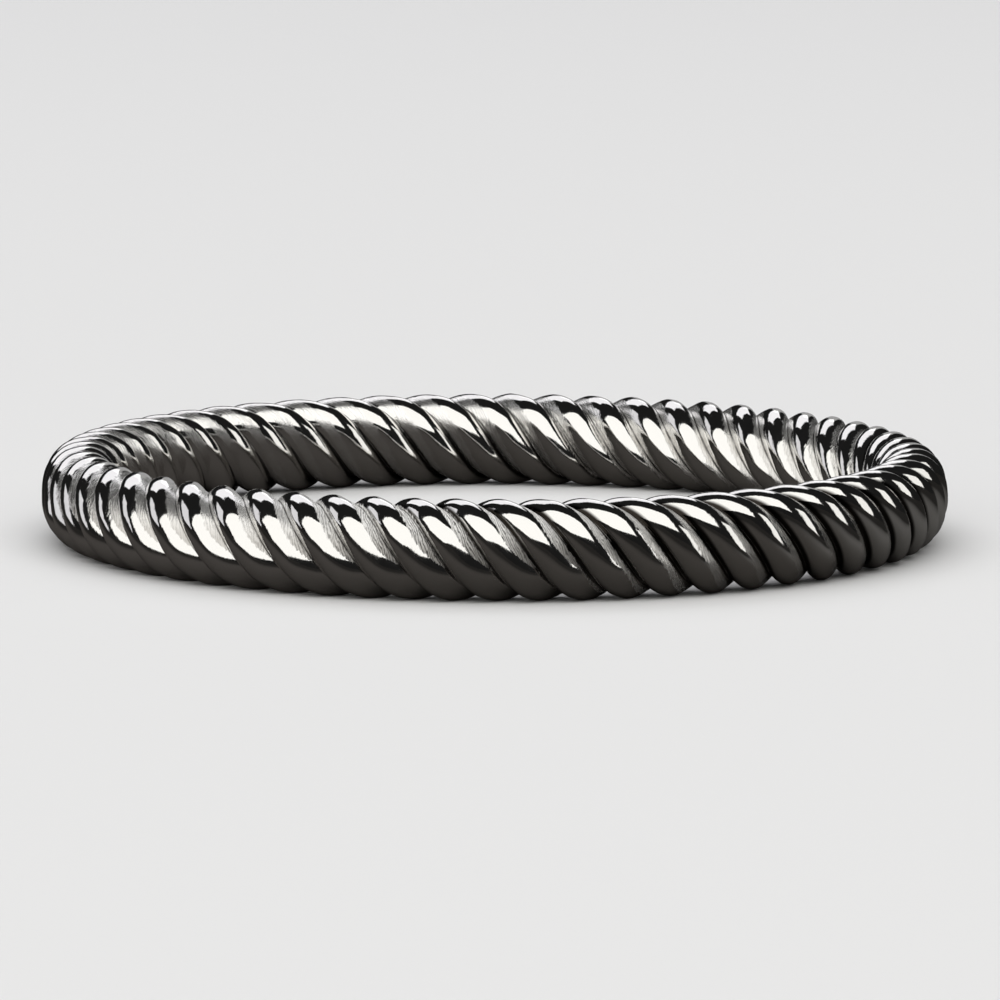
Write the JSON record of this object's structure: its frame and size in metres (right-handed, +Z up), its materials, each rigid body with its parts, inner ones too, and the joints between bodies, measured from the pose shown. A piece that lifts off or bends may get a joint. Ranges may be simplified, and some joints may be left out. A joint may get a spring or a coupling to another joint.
{
  "type": "rope twist ring",
  "caption": "Plain finger ring shaped as a twisted rope: one closed metal band with rounded slanting strands and matt grooves.",
  "frame": {"origin": "centre of the ring at the plane that it lies on, under the middle of the finger hole", "axes": "+Z up along the finger, out of the finger hole; -Y towards the side that the picture shows nearest; +X to its right"},
  "size_m": [0.0208, 0.0208, 0.0022],
  "materials": {
    "silver": "polished crests, satin grooves"
  },
  "bodies": {
    "root": {"rope_band": "silver"}
  },
  "joints": []
}
